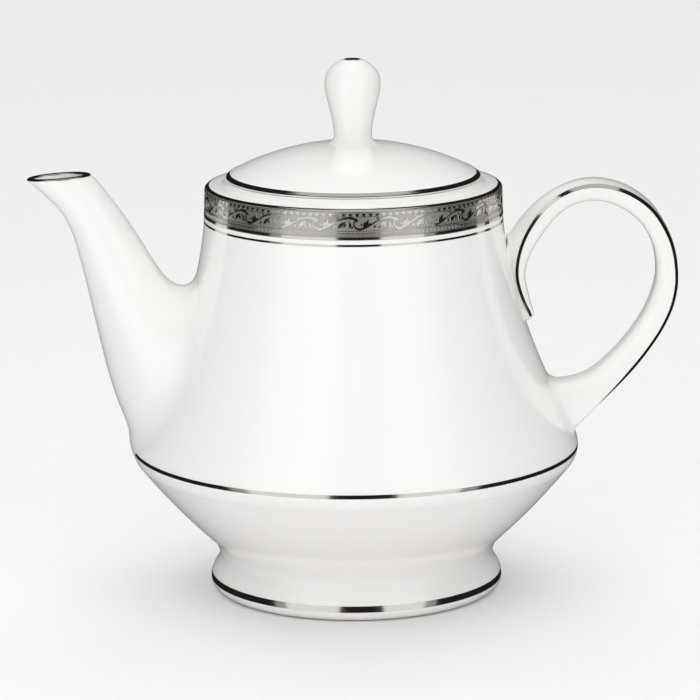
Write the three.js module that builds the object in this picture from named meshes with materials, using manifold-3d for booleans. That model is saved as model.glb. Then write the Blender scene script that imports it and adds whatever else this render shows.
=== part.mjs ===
// A white bone-china teapot with platinum lines and an etched platinum border.
// Bell-shaped pot, round foot, hollow spout, strap handle and a domed lid that lifts out.
// Millimetres, +Z up. The origin is the middle of the foot, on the table.
// The handle points along +X and the spout along -X.

import * as THREE from 'three';
import { ParametricGeometry } from 'three/addons/geometries/ParametricGeometry.js';
import { mergeVertices } from 'three/addons/utils/BufferGeometryUtils.js';
import Module from 'manifold-3d';

const wasm = await Module();
wasm.setup();

// ---------------------------------------------------------------- driving dimensions

const SIDES = 40;             // facets round every turned piece
const WALL = 3;               // pot wall
const SPOUT_WALL = 2.3;
const JOINT_GAP = 0.35;       // luted joints between separately cast pieces
const FILM_GAP = 0.06;        // between the china and a platinum line
const FILM = 0.3;             // thickness of a platinum line

const RIM_R = 50.82;          // pot just under its rim
const RIM_Z = 139.13;
const WAIST_R = 78.5;         // the bell and the cone would meet here
const WAIST_Z = 49.77;
const WAIST_ROUND = 7.9;
const CONE_END = [43.6, 12.46];
const CONE_BULGE = 1.38;      // how far the cone swells beyond a straight line
const BASE_Z = 11.2;          // underside of the pot's floor
const FLOOR_Z = 15.4;         // inside of the pot's floor

const RIM_ROUND = { r: 49.1, z: 139.9, radius: 1.8 };
const SHOULDER_Z = 141.95;    // flat white ring inside the rim
const SHOULDER_R = [45.9, 48.9];
const COVE_R = 1.9;           // hollow between the ring and the seat
const SEAT_Z = 143.8;         // the lid rests here
const SEAT_R = 43.2;
const MOUTH_R = 38.6;
const MOUTH_DEPTH = 4.7;      // down to where the inside opens out

const BAND_BOTTOM = 131.3;    // etched border
const BAND_R = 50.9;
const FINE_LINE = [129.85, 129.15];
const WAIST_LINE = [51.25, 50.0];
const FOOT_LINE = [5.7, 3.6];

const FOOT_JOINT_GAP = 0.15;
const FOOT_TOP_Z = 15.9;
const FOOT_NECK_R = 47.45;    // slimmest part of the foot
const FOOT_R = 50.5;
const FOOT_EDGE_R = 1.9;
const FOOT_FLAT_R = 46.2;     // inner edge of the ring that stands on the table
const FOOT_BORE = [44.6, 1.6];

const LID_R = 43.5;
const LID_BOTTOM = SEAT_Z + 0.15;
const LID_EDGE_R = 42;        // the dome ends here
const DOME_R = 91;
const DOME_TOP = 155.8;
const LID_THICK = 3;
const FLANGE_R = 37.4;
const FLANGE_BOTTOM = 133.5;
const FLANGE_CHAMFER = 0.7;
const VENT_R = 1.5;
const VENT_AT = 24;

const KNOB_SIDES = 24;
const KNOB_R = 9.5;
const KNOB_FOOT_R = 6.48;
const KNOB_FILLET_R = 8.4;    // where the knob's foot runs out on the dome
const KNOB_TOP = 184.6;
const KNOB_DOT_R = 2.8;
const KNOB_DOT_Z = KNOB_TOP - 0.29;

const DRILL_LENGTH = 30;      // longer than any wall it cuts
const DRILL_SIDES = 10;
const MERGE = 1e-4;           // points nearer than this are one point

// ---------------------------------------------------------------- solids and meshes

function toSolid(geometry) {
  const bare = geometry.clone();
  bare.deleteAttribute('normal');
  bare.deleteAttribute('uv');
  const merged = mergeVertices(bare, MERGE);
  const points = merged.attributes.position;
  const corners = [];
  let volume = 0;
  const a = new THREE.Vector3();
  const b = new THREE.Vector3();
  const c = new THREE.Vector3();
  for (let i = 0; i < merged.index.count; i += 3) {
    const [p, q, r] = [0, 1, 2].map((k) => merged.index.getX(i + k));
    if (p === q || q === r || r === p) continue;
    corners.push(p, q, r);
    a.fromBufferAttribute(points, p);
    b.fromBufferAttribute(points, q);
    c.fromBufferAttribute(points, r);
    volume += a.dot(b.cross(c)) / 6;
  }
  if (volume < 0) corners.reverse();
  return new wasm.Manifold(new wasm.Mesh({
    numProp: 3,
    vertProperties: new Float32Array(points.array),
    triVerts: new Uint32Array(corners),
  }));
}

function toGeometry(solid) {
  const mesh = solid.getMesh();
  const geometry = new THREE.BufferGeometry();
  geometry.setAttribute('position', new THREE.BufferAttribute(mesh.vertProperties, 3));
  geometry.setIndex(new THREE.BufferAttribute(mesh.triVerts, 1));
  geometry.computeVertexNormals();
  return geometry;
}

// Turns an outline of [radius, height] points about the Z axis.
function turned(outline, sides = SIDES) {
  const closed = outline[0][0] > 0 ? [...outline, outline[0]] : outline;
  const lathe = new THREE.LatheGeometry(closed.map(([r, z]) => new THREE.Vector2(r, z)), sides);
  return toSolid(lathe.rotateX(Math.PI / 2));
}

// A closed skin through sections: sectionAt(t) gives a function of the angle round the section.
function lofted(sectionAt, steps, sides, from = 0, to = 1) {
  const skin = (along, round, target) => {
    const step = Math.round(along * (steps + 2));
    const t = from + (to - from) * THREE.MathUtils.clamp((step - 1) / steps, 0, 1);
    const section = sectionAt(t);
    if (step === 0 || step === steps + 2) {
      const opposite = section(Math.PI, target).clone();
      target.copy(section(0, target)).add(opposite).multiplyScalar(0.5);
    } else {
      section(2 * Math.PI * (Math.round(round * sides) % sides) / sides, target);
    }
  };
  return toSolid(new ParametricGeometry((u, v, target) => skin(v, u, target), sides, steps + 2));
}

// ---------------------------------------------------------------- outlines of turned pieces

function curvePoints(curve, count) {
  return curve.getPoints(count).map((p) => [p.x, p.y]);
}

function arc(r, z, radius, fromDegrees, toDegrees, count) {
  const points = [];
  for (let i = 0; i <= count; i += 1) {
    const angle = THREE.MathUtils.degToRad(fromDegrees + (toDegrees - fromDegrees) * i / count);
    points.push([r + radius * Math.cos(angle), z + radius * Math.sin(angle)]);
  }
  return points;
}

const distance = (p, q) => Math.hypot(p[0] - q[0], p[1] - q[1]);

// Two outlines that meet in a corner, with the corner rounded to a radius.
function roundedCorner(before, after, radius, count) {
  const corner = before[before.length - 1];
  const towards = (p) => {
    const length = distance(p, corner);
    return [(p[0] - corner[0]) / length, (p[1] - corner[1]) / length];
  };
  const a = towards(before[before.length - 2]);
  const b = towards(after[1]);
  const half = Math.acos(a[0] * b[0] + a[1] * b[1]) / 2;
  const reach = radius / Math.tan(half);
  const bisector = [a[0] + b[0], a[1] + b[1]];
  const scale = radius / Math.sin(half) / Math.hypot(...bisector);
  const middle = [corner[0] + bisector[0] * scale, corner[1] + bisector[1] * scale];
  const angleTo = (d) => Math.atan2(
    corner[1] + d[1] * reach - middle[1],
    corner[0] + d[0] * reach - middle[0],
  ) * 180 / Math.PI;
  return [
    ...before.filter((p) => distance(p, corner) > reach * 1.05),
    ...arc(middle[0], middle[1], radius, angleTo(a), angleTo(b), count),
    ...after.filter((p) => distance(p, corner) > reach * 1.05),
  ];
}

// The pot's outside from under the rim, over the waist, to the foot.
const bell = curvePoints(new THREE.CubicBezierCurve(
  new THREE.Vector2(RIM_R, RIM_Z),
  new THREE.Vector2(RIM_R, 111.86),
  new THREE.Vector2(60.69, 82.68),
  new THREE.Vector2(WAIST_R, WAIST_Z),
), 13);
const coneStart = new THREE.Vector2(WAIST_R, WAIST_Z);
const coneStop = new THREE.Vector2(...CONE_END);
const coneRun = coneStop.clone().sub(coneStart).normalize();
const coneMiddle = coneStart.clone().lerp(coneStop, 0.5)
  .add(new THREE.Vector2(-coneRun.y, coneRun.x).multiplyScalar(2 * CONE_BULGE));
const cone = curvePoints(new THREE.QuadraticBezierCurve(coneStart, coneMiddle, coneStop), 5);
const potSide = roundedCorner(bell, cone, WAIST_ROUND, 5);

function radiusAt(outline, z) {
  for (let i = 1; i < outline.length; i += 1) {
    const [high, low] = [outline[i - 1], outline[i]];
    if (z <= high[1] && z >= low[1]) {
      const share = (high[1] - z) / (high[1] - low[1] || 1);
      return high[0] + (low[0] - high[0]) * share;
    }
  }
  throw new Error(`no surface at ${z}`);
}

// The stretch of an outline between two heights, from the upper to the lower one.
function stretch(outline, top, bottom) {
  return [
    [radiusAt(outline, top), top],
    ...outline.filter(([, z]) => z < top - 0.05 && z > bottom + 0.05),
    [radiusAt(outline, bottom), bottom],
  ];
}

// Moves an outline sideways, to the left of its direction when the amount is positive.
function offset(outline, amount) {
  return outline.map((point, i) => {
    const before = outline[Math.max(i - 1, 0)];
    const after = outline[Math.min(i + 1, outline.length - 1)];
    const length = distance(before, after);
    const along = [(after[0] - before[0]) / length, (after[1] - before[1]) / length];
    return [point[0] - along[1] * amount, point[1] + along[0] * amount];
  });
}

// A platinum line laid on an outline that runs from top to bottom.
function film(surface) {
  return turned([
    ...offset(surface, FILM_GAP),
    ...offset(surface, FILM_GAP + FILM).reverse(),
  ]);
}

const rimRound = arc(RIM_ROUND.r, RIM_ROUND.z, RIM_ROUND.radius, 85, 0, 3);

// ---------------------------------------------------------------- pot

const underBand = BAND_R - FILM - 2 * FILM_GAP;
const potInside = offset(stretch(potSide, RIM_Z - 3, FLOOR_Z + 1), -WALL)
  .filter((point, i, all) => i % 2 === 0 || i === all.length - 1);

function potOutline() {
  return [
    [0, BASE_Z],
    [CONE_END[0] - 1.2, BASE_Z],
    ...stretch(potSide, BAND_BOTTOM - 0.1, CONE_END[1] + 0.1).reverse(),
    [underBand, BAND_BOTTOM - 0.1],
    ...offset(rimRound, -(FILM + 2 * FILM_GAP)).reverse(),
    [SHOULDER_R[1], SHOULDER_Z],
    ...arc(SHOULDER_R[0], SHOULDER_Z + COVE_R, COVE_R, -90, -160, 3),
    [SEAT_R, SEAT_Z],
    [MOUTH_R + 0.6, SEAT_Z],
    [MOUTH_R, SEAT_Z - 0.6],
    [MOUTH_R, SEAT_Z - MOUTH_DEPTH],
    [potInside[0][0] - WALL, SEAT_Z - MOUTH_DEPTH - 0.8],
    ...potInside,
    [potInside[potInside.length - 1][0] - 2.5, FLOOR_Z],
    [0, FLOOR_Z],
  ];
}

const potCore = turned([
  [0, CONE_END[1]],
  ...potSide.map(([r, z]) => [r + JOINT_GAP, z]).reverse(),
  [0, RIM_Z],
]);

// Holes through the wall behind the spout hold back the leaves.
const STRAINER_HOLE_R = 1.9;
const STRAINER_PITCH = 7;
const STRAINER_ROW_PITCH = STRAINER_PITCH * Math.sqrt(3) / 2;
const STRAINER_ROWS = [2, 3, 4, 3, 2];
const STRAINER_MIDDLE_Z = 80;

const drillBit = (r) => new THREE.CylinderGeometry(r, r, DRILL_LENGTH, DRILL_SIDES);

function strainerHoles() {
  const holes = [];
  STRAINER_ROWS.forEach((count, row) => {
    const z = STRAINER_MIDDLE_Z + (row - (STRAINER_ROWS.length - 1) / 2) * STRAINER_ROW_PITCH;
    for (let i = 0; i < count; i += 1) {
      const y = (i - (count - 1) / 2) * STRAINER_PITCH;
      const drill = drillBit(STRAINER_HOLE_R);
      drill.rotateZ(Math.PI / 2);
      drill.translate(-radiusAt(potSide, z), y, z);
      holes.push(toSolid(drill));
    }
  });
  return holes;
}

const bodyShell = strainerHoles().reduce((pot, hole) => pot.subtract(hole), turned(potOutline()));

// ---------------------------------------------------------------- foot

// The foot's upper face lies along the underside of the cone.
const footJoint = offset(stretch(potSide, FOOT_TOP_Z, CONE_END[1] + 0.3), FOOT_JOINT_GAP);
const footSide = [
  footJoint[0],
  ...curvePoints(new THREE.CubicBezierCurve(
    new THREE.Vector2(FOOT_NECK_R, FOOT_TOP_Z - 1.5),
    new THREE.Vector2(FOOT_NECK_R, FOOT_TOP_Z - 5.4),
    new THREE.Vector2(FOOT_R, FOOT_LINE[0] + 2.3),
    new THREE.Vector2(FOOT_R, FOOT_EDGE_R + 1.1),
  ), 5),
  ...arc(FOOT_R - FOOT_EDGE_R, FOOT_EDGE_R, FOOT_EDGE_R, 0, -90, 3),
];
const footRing = turned([
  ...footSide,
  [FOOT_FLAT_R, 0],
  FOOT_BORE,
  ...footJoint.slice(1).reverse(),
]);

// ---------------------------------------------------------------- spout

// Underside, upper side and half width of the spout, from the mouth down into the pot.
const SPOUT = [
  { under: [-111.5, 143.6], over: [-89.7, 145.1], half: 7.3 },
  { under: [-105.7, 138.5], over: [-87.3, 142.9], half: 7.6 },
  { under: [-100.3, 132.8], over: [-83.4, 137.8], half: 8.2 },
  { under: [-96.6, 125.6], over: [-78.6, 131.2], half: 9.2 },
  { under: [-94, 116.4], over: [-73.6, 123.3], half: 10.8 },
  { under: [-91.8, 107.2], over: [-69.2, 115.8], half: 13 },
  { under: [-89.6, 97], over: [-65, 109.6], half: 15.8 },
  { under: [-87.2, 86], over: [-59.6, 105], half: 19.2 },
  { under: [-84.4, 74.4], over: [-53, 101], half: 22.6 },
  { under: [-80.6, 63], over: [-47, 95], half: 24.5 },
  { under: [-75, 54.2], over: [-42, 88], half: 23 },
];

const SPOUT_STEPS = 18;
const SPOUT_SIDES = 20;
const LIP_INSET = 0.15;       // the platinum ring keeps back from the lip's edges

const planar = ([x, z]) => new THREE.Vector3(x, 0, z);

function curveThrough(points) {
  return new THREE.CatmullRomCurve3(points, false, 'centripetal');
}

const spoutUnder = curveThrough(SPOUT.map((s) => planar(s.under)));
const spoutOver = curveThrough(SPOUT.map((s) => planar(s.over)));
const spoutHalf = curveThrough(SPOUT.map((s) => new THREE.Vector3(s.half, 0, 0)));

// An oval spout section, drawn in by the wall for the bore.
function spoutSection(t, inset) {
  const under = spoutUnder.getPoint(t);
  const over = spoutOver.getPoint(t);
  const reach = over.clone().sub(under).multiplyScalar(0.5);
  const middle = under.add(reach);
  reach.multiplyScalar(1 - inset / reach.length());
  const half = spoutHalf.getPoint(t).x - inset;
  return (angle, target) => target.copy(reach).multiplyScalar(Math.cos(angle)).add(middle)
    .add(new THREE.Vector3(0, half * Math.sin(angle), 0));
}

const spoutSkin = lofted((t) => spoutSection(t, 0), SPOUT_STEPS, SPOUT_SIDES);
const spoutBore = lofted((t) => spoutSection(t, SPOUT_WALL), SPOUT_STEPS, SPOUT_SIDES);
const mouthCut = lofted((t) => {
  const section = spoutSection(0, SPOUT_WALL);
  const rise = SPOUT_WALL * (2 * t - 1);
  return (angle, target) => section(angle, target).add(new THREE.Vector3(0, 0, rise));
}, 1, SPOUT_SIDES);
const spout = spoutSkin.subtract(spoutBore).subtract(mouthCut).subtract(potCore);

// The platinum ring on the lip follows the mouth's own plane.
function lipRing() {
  const under = planar(SPOUT[0].under);
  const over = planar(SPOUT[0].over);
  const along = over.clone().sub(under);
  const ellipse = (path, inset) => path.absellipse(
    0, 0, along.length() / 2 - inset, SPOUT[0].half - inset, 0, 2 * Math.PI,
  );
  const shape = ellipse(new THREE.Shape(), LIP_INSET);
  shape.holes.push(ellipse(new THREE.Path(), SPOUT_WALL - LIP_INSET));
  const ring = new THREE.ExtrudeGeometry(shape, {
    depth: FILM, bevelEnabled: false, curveSegments: 12,
  });
  const middle = under.add(over).multiplyScalar(0.5);
  ring.translate(0, 0, FILM_GAP);
  ring.rotateY(-Math.atan2(along.z, along.x));
  ring.translate(middle.x, 0, middle.z);
  return toSolid(ring);
}

// ---------------------------------------------------------------- handle

// Outer and inner edge, half width, and how far the back is crowned, from the curled tip,
// up along the pot, over the top and down to the lower root.
const HANDLE = [
  { outer: [60.4, 94.5], inner: [61.9, 95.5], half: 3.4, crown: 0 },
  { outer: [57.3, 101.5], inner: [60, 102.5], half: 6, crown: 1.2 },
  { outer: [55.2, 109.5], inner: [58.7, 109.8], half: 7.3, crown: 3.6 },
  { outer: [55.8, 117.5], inner: [60.3, 116.6], half: 8, crown: 4.6 },
  { outer: [58.9, 125.8], inner: [64.2, 123.4], half: 8, crown: 3.4 },
  { outer: [64.9, 134.2], inner: [69.4, 130], half: 8, crown: 1.9 },
  { outer: [73, 139.8], inner: [75.2, 134], half: 8, crown: 1 },
  { outer: [82.6, 141.8], inner: [82.4, 135.4], half: 8, crown: 0.5 },
  { outer: [93.4, 139.5], inner: [90.2, 133.4], half: 8, crown: 0.4 },
  { outer: [103, 132.8], inner: [97.8, 127.8], half: 8, crown: 0.4 },
  { outer: [109.4, 121.8], inner: [102.2, 119.8], half: 8, crown: 0.4 },
  { outer: [111.5, 110.4], inner: [103.6, 110.6], half: 8, crown: 0.4 },
  { outer: [110.4, 100.4], inner: [102.2, 103], half: 8, crown: 0.4 },
  { outer: [106.8, 91.4], inner: [98.8, 95.2], half: 8, crown: 0.4 },
  { outer: [101.2, 82.6], inner: [93.4, 87.2], half: 8, crown: 0.4 },
  { outer: [94.6, 74.4], inner: [87.2, 80.2], half: 8.2, crown: 0.5 },
  { outer: [88, 67.4], inner: [80.6, 74.8], half: 8.9, crown: 0.6 },
  { outer: [81.8, 61.2], inner: [74.2, 72.2], half: 10, crown: 0.8 },
  { outer: [75.2, 55.6], inner: [67, 71.4], half: 11.4, crown: 0.8 },
  { outer: [68, 52], inner: [61, 71], half: 11.6, crown: 0.8 },
];
const HANDLE_STEPS = 46;
const HANDLE_SIDES = 14;
const CORNER = 1.2;           // flat on the strap's outer corners, under the platinum line
const LINE_STEPS = 36;
const LINE_SPAN = [0.012, 0.87];  // from the curled tip, stopping short of the lower root

const handleOuter = curveThrough(HANDLE.map((s) => planar(s.outer)));
const handleInner = curveThrough(HANDLE.map((s) => planar(s.inner)));
const handleSizes = curveThrough(HANDLE.map((s) => new THREE.Vector3(s.half, s.crown, 0)));

function handleFrame(t) {
  const outer = handleOuter.getPoint(t);
  const inner = handleInner.getPoint(t);
  const out = outer.clone().sub(inner);
  const deep = out.length() / 2;
  const middle = outer.add(inner).multiplyScalar(0.5);
  const { x: half, y: crown } = handleSizes.getPoint(t);
  return { middle, out: out.normalize(), deep, half, crown, corner: Math.min(CORNER, deep) };
}

// Corners of the strap section as [outwards, sideways] pairs, starting at the crown.
function handleCorners({ deep, half, crown, corner }) {
  const side = [
    [deep + 0.7 * crown, 0.45 * (half - corner)],
    [deep, half - corner],
    [deep - corner, half],
    [-0.35 * deep, 0.97 * half],
    [-0.75 * deep, 0.8 * half],
    [-0.97 * deep, 0.42 * half],
  ];
  const mirrored = side.map(([out, across]) => [out, -across]).reverse();
  return [[deep + crown, 0], ...side, [-deep, 0], ...mirrored];
}

function placed(frame, out, across, target) {
  return target.copy(frame.out).multiplyScalar(out).add(frame.middle)
    .add(new THREE.Vector3(0, across, 0));
}

const strap = lofted((t) => {
  const frame = handleFrame(t);
  const corners = handleCorners(frame);
  return (angle, target) => {
    const [out, across] = corners[Math.round(angle / (2 * Math.PI) * HANDLE_SIDES) % HANDLE_SIDES];
    return placed(frame, out, across, target);
  };
}, HANDLE_STEPS, HANDLE_SIDES);
const handle = strap.subtract(potCore);

// The platinum line on one outer corner of the strap; side is -1 in front and 1 behind.
function handleLine(side) {
  return lofted((t) => {
    const frame = handleFrame(t);
    const lift = (amount) => amount / Math.SQRT2;
    const near = lift(FILM_GAP * 2);
    const far = lift(FILM_GAP * 2 + FILM);
    const corners = [
      [frame.deep + far, frame.half - frame.corner + far],
      [frame.deep - frame.corner + far, frame.half + far],
      [frame.deep - frame.corner + near, frame.half + near],
      [frame.deep + near, frame.half - frame.corner + near],
    ];
    return (angle, target) => {
      const [out, across] = corners[Math.round(angle / (2 * Math.PI) * 4) % 4];
      return placed(frame, out, side * across, target);
    };
  }, LINE_STEPS, 4, ...LINE_SPAN);
}

// ---------------------------------------------------------------- lid

const domeHeight = (r) => DOME_TOP - DOME_R + Math.sqrt(DOME_R ** 2 - r ** 2);
const domeAt = (r) => [r, domeHeight(r)];
const lidEdge = [
  domeAt(LID_EDGE_R),
  [LID_R - 0.4, 145.1],
  [LID_R, 144.6],
  [LID_R, LID_BOTTOM + 0.35],
  [LID_R - 0.3, LID_BOTTOM],
];

const lidCapShell = turned([
  ...[0, 9, 17, 25, 32, 38].map(domeAt),
  ...lidEdge,
  [FLANGE_R - LID_THICK - 0.2, LID_BOTTOM],
  ...[26, 13, 0].map((r) => [r, domeHeight(r) - LID_THICK]),
]);
const ventDrill = drillBit(VENT_R).rotateX(Math.PI / 2);
ventDrill.translate(0, VENT_AT, domeHeight(VENT_AT));
const lidCap = lidCapShell.subtract(toSolid(ventDrill));

const flangeTop = LID_BOTTOM - 0.1;
const flangeBore = FLANGE_R - LID_THICK;
const lidFlange = turned([
  [FLANGE_R, flangeTop],
  [FLANGE_R, FLANGE_BOTTOM + FLANGE_CHAMFER],
  [FLANGE_R - FLANGE_CHAMFER, FLANGE_BOTTOM],
  [flangeBore + FLANGE_CHAMFER, FLANGE_BOTTOM],
  [flangeBore, FLANGE_BOTTOM + FLANGE_CHAMFER],
  [flangeBore, flangeTop],
]);

// The knob rests on the dome, and its flattened tip carries the platinum dot.
const knobTip = KNOB_DOT_Z - FILM_GAP;
const knob = turned([
  [0, knobTip],
  [KNOB_DOT_R + 0.1, knobTip],
  [4.9, 183.65],
  [7.6, 181.3],
  [9.1, 179],
  [KNOB_R, 176.4],
  [9.2, 172.9],
  [7.8, 166.8],
  [6.8, 162],
  [KNOB_FOOT_R, 158.6],
  [6.9, 157.1],
  [KNOB_FILLET_R, domeHeight(KNOB_FILLET_R) + 0.5],
  [KNOB_FILLET_R, domeHeight(KNOB_FILLET_R) + 0.1],
  [0, DOME_TOP + 0.1],
], KNOB_SIDES);

const knobDot = turned([
  [0, KNOB_TOP],
  [1.6, KNOB_TOP - 0.06],
  [KNOB_DOT_R, KNOB_TOP - 0.2],
  [KNOB_DOT_R, KNOB_DOT_Z],
  [0, KNOB_DOT_Z],
], KNOB_SIDES);

// ---------------------------------------------------------------- finishes and assembly

const china = (shade) => new THREE.MeshStandardMaterial({
  color: shade, roughness: 0.12, metalness: 0,
});
const platinum = (roughness) => new THREE.MeshStandardMaterial({
  color: 0xcfcbc2, roughness, metalness: 1,
});

function piece(name, solid, material) {
  const mesh = new THREE.Mesh(toGeometry(solid), material);
  mesh.name = name;
  return mesh;
}

const pot = new THREE.Group();
pot.add(
  piece('body_shell', bodyShell, china(0xf5f4f1)),
  piece('foot_ring', footRing, china(0xf3f2ef)),
  piece('spout', spout, china(0xf4f3f0)),
  piece('handle', handle, china(0xf4f3f1)),
  piece('rim_edge_line', film(offset(rimRound, -(FILM + FILM_GAP))), platinum(0.08)),
  piece('border_band', film([
    [BAND_R - FILM - FILM_GAP, rimRound[rimRound.length - 1][1] - 0.1],
    [BAND_R - FILM - FILM_GAP, BAND_BOTTOM],
  ]), platinum(0.3)),
  piece('border_lower_line', film(stretch(potSide, ...FINE_LINE)), platinum(0.08)),
  piece('waist_line', film(stretch(potSide, ...WAIST_LINE)), platinum(0.08)),
  piece('foot_line', film(stretch(footSide, ...FOOT_LINE)), platinum(0.08)),
  piece('spout_lip_line', lipRing(), platinum(0.08)),
  piece('handle_line_front', handleLine(-1), platinum(0.08)),
  piece('handle_line_back', handleLine(1), platinum(0.08)),
);

const lid = new THREE.Group();
lid.add(
  piece('lid_cap', lidCap, china(0xf6f5f2)),
  piece('lid_flange', lidFlange, china(0xf2f1ee)),
  piece('lid_knob', knob, china(0xf6f5f2)),
  piece('lid_edge_line', film(lidEdge.slice(0, -1)), platinum(0.08)),
  piece('knob_top_dot', knobDot, platinum(0.08)),
);

const teapot = new THREE.Group();
teapot.add(pot, lid);

export default teapot;
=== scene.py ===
"""Platinum-trimmed china teapot: the looks, built around its fixed frame.

Each operator makes one piece, or one group of like pieces, of the pot. Lengths are in metres, +Z is up,
+X runs from the spout to the handle and the origin is the middle of the foot, on the table.
"""

import math

import bmesh
import bpy
import numpy as np
from mathutils import Matrix, Vector
from mathutils.bvhtree import BVHTree


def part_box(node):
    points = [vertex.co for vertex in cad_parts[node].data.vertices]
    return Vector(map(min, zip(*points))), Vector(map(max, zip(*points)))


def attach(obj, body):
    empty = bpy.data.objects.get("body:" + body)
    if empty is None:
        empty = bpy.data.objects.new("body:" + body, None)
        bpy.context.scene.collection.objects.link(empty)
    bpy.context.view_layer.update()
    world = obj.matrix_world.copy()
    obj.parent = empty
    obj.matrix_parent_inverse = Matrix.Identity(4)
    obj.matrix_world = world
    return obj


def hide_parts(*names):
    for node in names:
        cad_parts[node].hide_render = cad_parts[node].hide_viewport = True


bl_info = {
    "name": "China teapot",
    "version": (1, 0, 0),
    "blender": (4, 5, 0),
    "location": "3D View > Sidebar > Teapot",
    "description": "Builds a glazed china teapot with platinum lines and an etched platinum border",
    "category": "Object",
}

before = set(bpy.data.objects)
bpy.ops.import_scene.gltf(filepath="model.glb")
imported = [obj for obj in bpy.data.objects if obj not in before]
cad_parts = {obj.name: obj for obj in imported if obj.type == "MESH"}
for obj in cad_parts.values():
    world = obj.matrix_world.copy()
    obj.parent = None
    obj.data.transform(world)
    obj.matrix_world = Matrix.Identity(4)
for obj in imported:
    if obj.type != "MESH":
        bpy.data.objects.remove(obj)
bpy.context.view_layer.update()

MM = 0.001
UP = Vector((0, 0, 1))

# Steps round the axis, and the gap below which points of a spun piece are one point.
ROUND_STEPS = 160
FINE_STEPS = 180
BORDER_STEPS = 240
MERGE_GAP = 2e-6


def low(node):
    """Lowest corner of a frame node."""
    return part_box(node)[0]


def high(node):
    """Highest corner of a frame node."""
    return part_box(node)[1]


def length_property(name, description, default):
    return bpy.props.FloatProperty(
        name=name, description=description, default=default, unit="LENGTH", precision=5
    )


def colour_property(name, description, default):
    return bpy.props.FloatVectorProperty(
        name=name, description=description, default=default, subtype="COLOR", size=3, min=0, max=1
    )


def count_property(name, description, default):
    return bpy.props.IntProperty(name=name, description=description, default=default, min=1)


def angle_property(name, description, degrees):
    return bpy.props.FloatProperty(
        name=name, description=description, default=math.radians(degrees), subtype="ANGLE"
    )


def share_property(name, description, default):
    return bpy.props.FloatProperty(
        name=name, description=description, default=default, subtype="FACTOR", min=0, max=1
    )


# ------------------------------------------------------------------ sizes and colours


class TEAPOT_PG_pot(bpy.types.PropertyGroup):
    """Sizes of the pot and its foot."""

    rim_radius: length_property("Rim radius", "Outside of the pot under its rim", 50.82 * MM)
    rim_height: length_property("Rim height", "Where the bell begins under the rim", 139.13 * MM)
    bell_upper: length_property("Bell upper pull", "Down to here the neck stays steep", 111.86 * MM)
    bell_radius: length_property("Bell radius", "Radius that the bell is pulled towards", 60.69 * MM)
    bell_lower: length_property("Bell lower pull", "Height from which the bell flares", 82.68 * MM)
    waist_radius: length_property("Waist radius", "Where the bell and the cone would meet", 78.5 * MM)
    waist_height: length_property("Waist height", "Height of that corner", 49.77 * MM)
    waist_round: length_property("Waist rounding", "Radius of the rounded waist", 7.94 * MM)
    cone_radius: length_property("Cone radius", "Radius at the bottom of the cone", 43.6 * MM)
    cone_height: length_property("Cone height", "Height of the bottom of the cone", 12.46 * MM)
    cone_bulge: length_property("Cone bulge", "How far the cone swells from straight", 1.38 * MM)
    wall: length_property("Wall", "Thickness of the pot's wall", 3 * MM)
    seat_height: length_property("Seat height", "Where the lid rests", low("lid_cap").z - 0.15 * MM)
    shoulder_height: length_property("Shoulder height", "Flat ring inside the rim", 141.95 * MM)
    mouth_radius: length_property("Mouth radius", "Opening under the lid", 38.6 * MM)
    floor_height: length_property("Floor height", "Inside of the floor", 15.4 * MM)
    base_height: length_property("Base height", "Underside of the floor", low("body_shell").z)
    foot_radius: length_property("Foot radius", "Widest part of the foot", high("foot_ring").x)
    foot_neck: length_property("Foot neck", "Slimmest part of the foot", 47.5 * MM)
    foot_top: length_property("Foot top", "Where the foot meets the cone", high("foot_ring").z)


class TEAPOT_PG_lid(bpy.types.PropertyGroup):
    """Sizes of the lid and its knob."""

    radius: length_property("Lid radius", "Outer edge of the lid", 43.5 * MM)
    bottom: length_property("Lid bottom", "Underside of the lid's edge", low("lid_cap").z)
    dome_radius: length_property("Dome radius", "Radius of the dome's sphere", 91 * MM)
    dome_top: length_property("Dome top", "Top of the dome, under the knob", 155.8 * MM)
    thickness: length_property("Lid thickness", "Wall of the lid", 3 * MM)
    flange_radius: length_property("Flange radius", "Ring in the mouth", high("lid_flange").x)
    flange_bottom: length_property("Flange bottom", "Lowest edge of the lid", low("lid_flange").z)
    knob_top: length_property("Knob top", "Highest point of the knob", high("knob_top_dot").z)
    dot_radius: length_property("Dot radius", "Platinum dot on the knob", high("knob_top_dot").x)


class TEAPOT_PG_trim(bpy.types.PropertyGroup):
    """Sizes of the platinum trim."""

    film: length_property("Film", "How far a platinum line stands off the glaze", 0.05 * MM)
    relief: length_property("Relief", "How far the ornament stands off its ground", 0.09 * MM)
    band_radius: length_property("Border radius", "Ground of the etched border", 50.86 * MM)
    scrolls: count_property("Scrolls", "Scrolls round the border", 24)
    arches: count_property("Arches", "Arches in one scroll's width", 6)
    keys: count_property("Keys", "Keys in one scroll's width", 9)
    handle_line: length_property("Handle line", "Chamfer under the handle's line", 1.1 * MM)


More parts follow.
